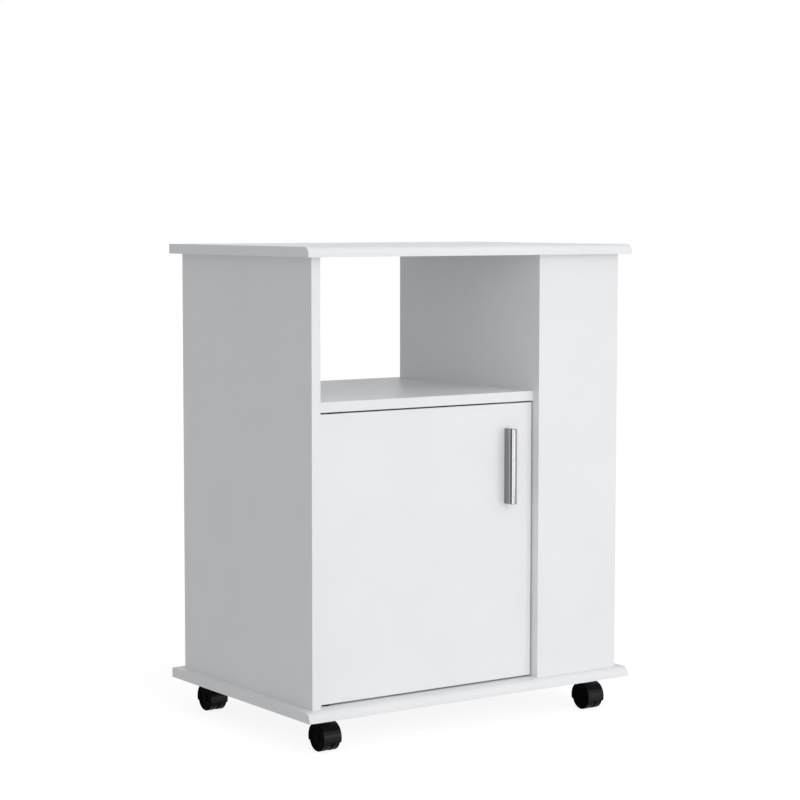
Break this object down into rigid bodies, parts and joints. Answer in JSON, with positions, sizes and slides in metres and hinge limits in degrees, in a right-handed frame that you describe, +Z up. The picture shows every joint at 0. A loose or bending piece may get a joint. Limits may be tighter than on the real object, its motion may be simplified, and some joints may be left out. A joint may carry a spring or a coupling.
{
  "type": "microwave cabinet on casters",
  "caption": "Rolling kitchen cabinet that carries a microwave oven on its top: open niche, pivot-hung cupboard door with a chrome bar handle, side rack column, twin-wheel casters.",
  "frame": {"origin": "on the floor, under the middle of the top and base boards", "axes": "+Z up, +X to the right of someone facing the door, -Y towards that person"},
  "size_m": [0.6, 0.406, 0.738],
  "materials": {
    "white_melamine": "melamine-faced chipboard, smooth white, matching edge band",
    "hardboard": "thin natural hardboard",
    "beech": "plain fluted beech dowel",
    "zinc_die_cast": "dull zinc die casting",
    "ferrite": "dark grey ferrite magnet",
    "chrome": "bright chrome plate",
    "white_nylon": "white moulded nylon",
    "black_nylon": "black moulded nylon, satin",
    "zinc_plated_steel": "bright zinc plate"
  },
  "bodies": {
    "cabinet": {"back_panel_nails": "zinc_plated_steel", "base_board": "white_melamine", "base_screws": "zinc_plated_steel", "board_dowels": "beech", "cam_bolts": "zinc_plated_steel", "cam_locks": "zinc_die_cast", "caster_plate_back_left": "zinc_plated_steel", "caster_plate_back_right": "zinc_plated_steel", "caster_plate_front_left": "zinc_plated_steel", "caster_plate_front_right": "zinc_plated_steel", "caster_screws": "zinc_plated_steel", "catch_housing": "white_nylon", "catch_magnet": "ferrite", "catch_poles": "zinc_plated_steel", "catch_screws": "zinc_plated_steel", "column_back_panel": "white_melamine", "column_front_panel": "white_melamine", "cupboard_back_panel": "hardboard", "divider_panel": "white_melamine", "hinge_bushing_bottom": "black_nylon", "hinge_bushing_top": "black_nylon", "kingpin_back_left": "zinc_plated_steel", "kingpin_back_right": "zinc_plated_steel", "kingpin_front_left": "zinc_plated_steel", "kingpin_front_right": "zinc_plated_steel", "left_side_panel": "white_melamine", "middle_shelf": "white_melamine", "rack_shelf_1": "white_melamine", "rack_shelf_2": "white_melamine", "rack_shelf_dowels": "beech", "top_board": "white_melamine"},
    "door": {"door_panel": "white_melamine", "door_handle": "chrome", "handle_screws": "zinc_plated_steel", "hinge_plate_top": "zinc_plated_steel", "hinge_plate_bottom": "zinc_plated_steel", "hinge_pin_top": "zinc_plated_steel", "hinge_pin_bottom": "zinc_plated_steel", "hinge_screws": "zinc_plated_steel", "strike_plate": "zinc_plated_steel", "strike_screw": "zinc_plated_steel"},
    "caster_front_left": {"caster_hood_front_left": "black_nylon", "caster_axle_front_left": "zinc_plated_steel"},
    "wheel_front_left_left": {"caster_wheel_front_left_left": "black_nylon"},
    "wheel_front_left_right": {"caster_wheel_front_left_right": "black_nylon"},
    "caster_front_right": {"caster_hood_front_right": "black_nylon", "caster_axle_front_right": "zinc_plated_steel"},
    "wheel_front_right_left": {"caster_wheel_front_right_left": "black_nylon"},
    "wheel_front_right_right": {"caster_wheel_front_right_right": "black_nylon"},
    "caster_back_left": {"caster_hood_back_left": "black_nylon", "caster_axle_back_left": "zinc_plated_steel"},
    "wheel_back_left_left": {"caster_wheel_back_left_left": "black_nylon"},
    "wheel_back_left_right": {"caster_wheel_back_left_right": "black_nylon"},
    "caster_back_right": {"caster_hood_back_right": "black_nylon", "caster_axle_back_right": "zinc_plated_steel"},
    "wheel_back_right_left": {"caster_wheel_back_right_left": "black_nylon"},
    "wheel_back_right_right": {"caster_wheel_back_right_right": "black_nylon"}
  },
  "joints": [
    {"name": "door_swing", "type": "hinge", "parent": "cabinet", "child": "door", "pos_m": [-0.248, -0.1635, 0.28225], "axis": [0, 0, 1], "range_deg": [-115, 0]},
    {"name": "swivel_front_left", "type": "hinge", "parent": "cabinet", "child": "caster_front_left", "pos_m": [-0.249, -0.1525, 0.043], "axis": [0, 0, 1], "continuous": true},
    {"name": "roll_front_left_left", "type": "hinge", "parent": "caster_front_left", "child": "wheel_front_left_left", "pos_m": [-0.249, -0.1645, 0.02], "axis": [1, 0, 0], "continuous": true},
    {"name": "roll_front_left_right", "type": "hinge", "parent": "caster_front_left", "child": "wheel_front_left_right", "pos_m": [-0.249, -0.1645, 0.02], "axis": [1, 0, 0], "continuous": true},
    {"name": "swivel_front_right", "type": "hinge", "parent": "cabinet", "child": "caster_front_right", "pos_m": [0.249, -0.1525, 0.043], "axis": [0, 0, 1], "continuous": true},
    {"name": "roll_front_right_left", "type": "hinge", "parent": "caster_front_right", "child": "wheel_front_right_left", "pos_m": [0.249, -0.1645, 0.02], "axis": [1, 0, 0], "continuous": true},
    {"name": "roll_front_right_right", "type": "hinge", "parent": "caster_front_right", "child": "wheel_front_right_right", "pos_m": [0.249, -0.1645, 0.02], "axis": [1, 0, 0], "continuous": true},
    {"name": "swivel_back_left", "type": "hinge", "parent": "cabinet", "child": "caster_back_left", "pos_m": [-0.249, 0.1525, 0.043], "axis": [0, 0, 1], "continuous": true},
    {"name": "roll_back_left_left", "type": "hinge", "parent": "caster_back_left", "child": "wheel_back_left_left", "pos_m": [-0.249, 0.1645, 0.02], "axis": [1, 0, 0], "continuous": true},
    {"name": "roll_back_left_right", "type": "hinge", "parent": "caster_back_left", "child": "wheel_back_left_right", "pos_m": [-0.249, 0.1645, 0.02], "axis": [1, 0, 0], "continuous": true},
    {"name": "swivel_back_right", "type": "hinge", "parent": "cabinet", "child": "caster_back_right", "pos_m": [0.249, 0.1525, 0.043], "axis": [0, 0, 1], "continuous": true},
    {"name": "roll_back_right_left", "type": "hinge", "parent": "caster_back_right", "child": "wheel_back_right_left", "pos_m": [0.249, 0.1645, 0.02], "axis": [1, 0, 0], "continuous": true},
    {"name": "roll_back_right_right", "type": "hinge", "parent": "caster_back_right", "child": "wheel_back_right_right", "pos_m": [0.249, 0.1645, 0.02], "axis": [1, 0, 0], "continuous": true}
  ]
}
